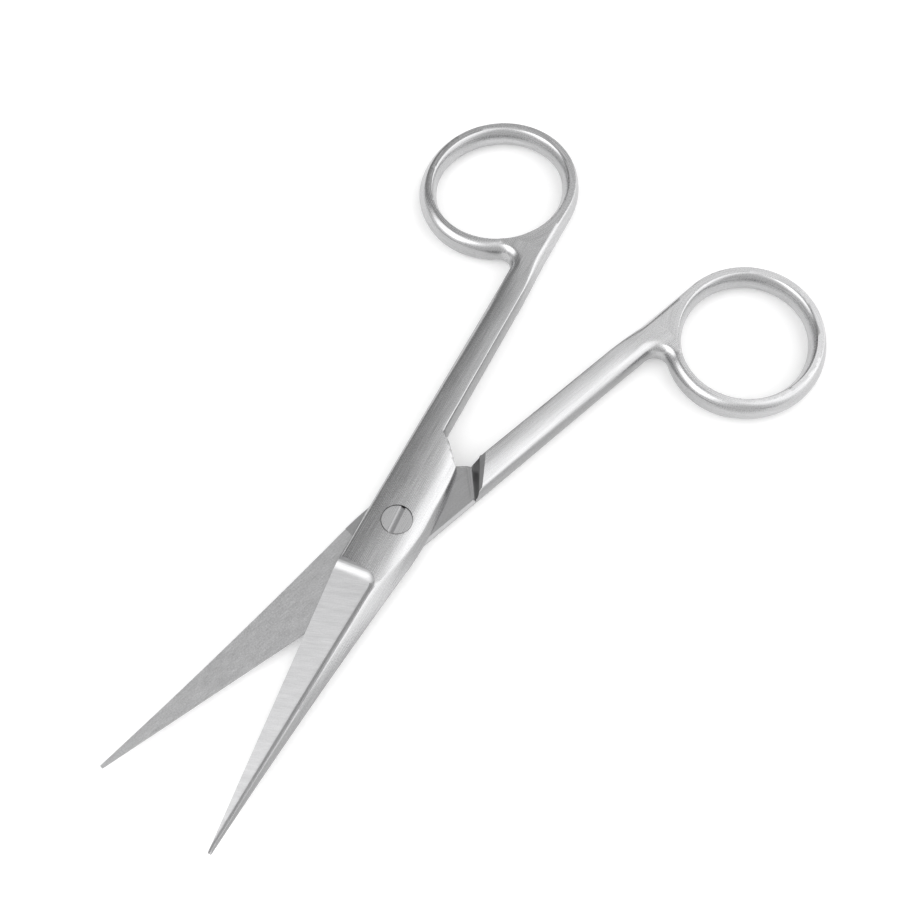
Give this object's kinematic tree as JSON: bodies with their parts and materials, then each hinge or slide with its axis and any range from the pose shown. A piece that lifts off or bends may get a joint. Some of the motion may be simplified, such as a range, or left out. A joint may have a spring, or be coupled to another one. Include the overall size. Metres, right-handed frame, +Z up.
{
  "type": "operating scissors",
  "caption": "Straight surgical scissors: crossing lap-jointed blades on a slotted pivot screw, with a finger ring at the end of each shank.",
  "frame": {"origin": "on the pivot axis, where it meets the flat surface that the scissors lie on", "axes": "+Z up along the pivot axis, out of the screw's slotted head; +X along the bisector of the two halves, towards the finger rings; the half on top has its ring at +Y"},
  "size_m": [0.1349, 0.0792, 0.0046],
  "materials": {
    "upper_steel": "satin, brushed lengthwise",
    "lower_steel": "satin, brushed lengthwise",
    "screw_steel": "satin, turned"
  },
  "bodies": {
    "lower": {"lower_half": "lower_steel", "pivot_screw": "screw_steel"},
    "upper": {"upper_half": "upper_steel"}
  },
  "joints": [
    {"name": "blade_pivot", "type": "hinge", "parent": "lower", "child": "upper", "pos_m": [0, 0, 0], "axis": [0, 0, 1], "range_deg": [-21, 108]}
  ]
}
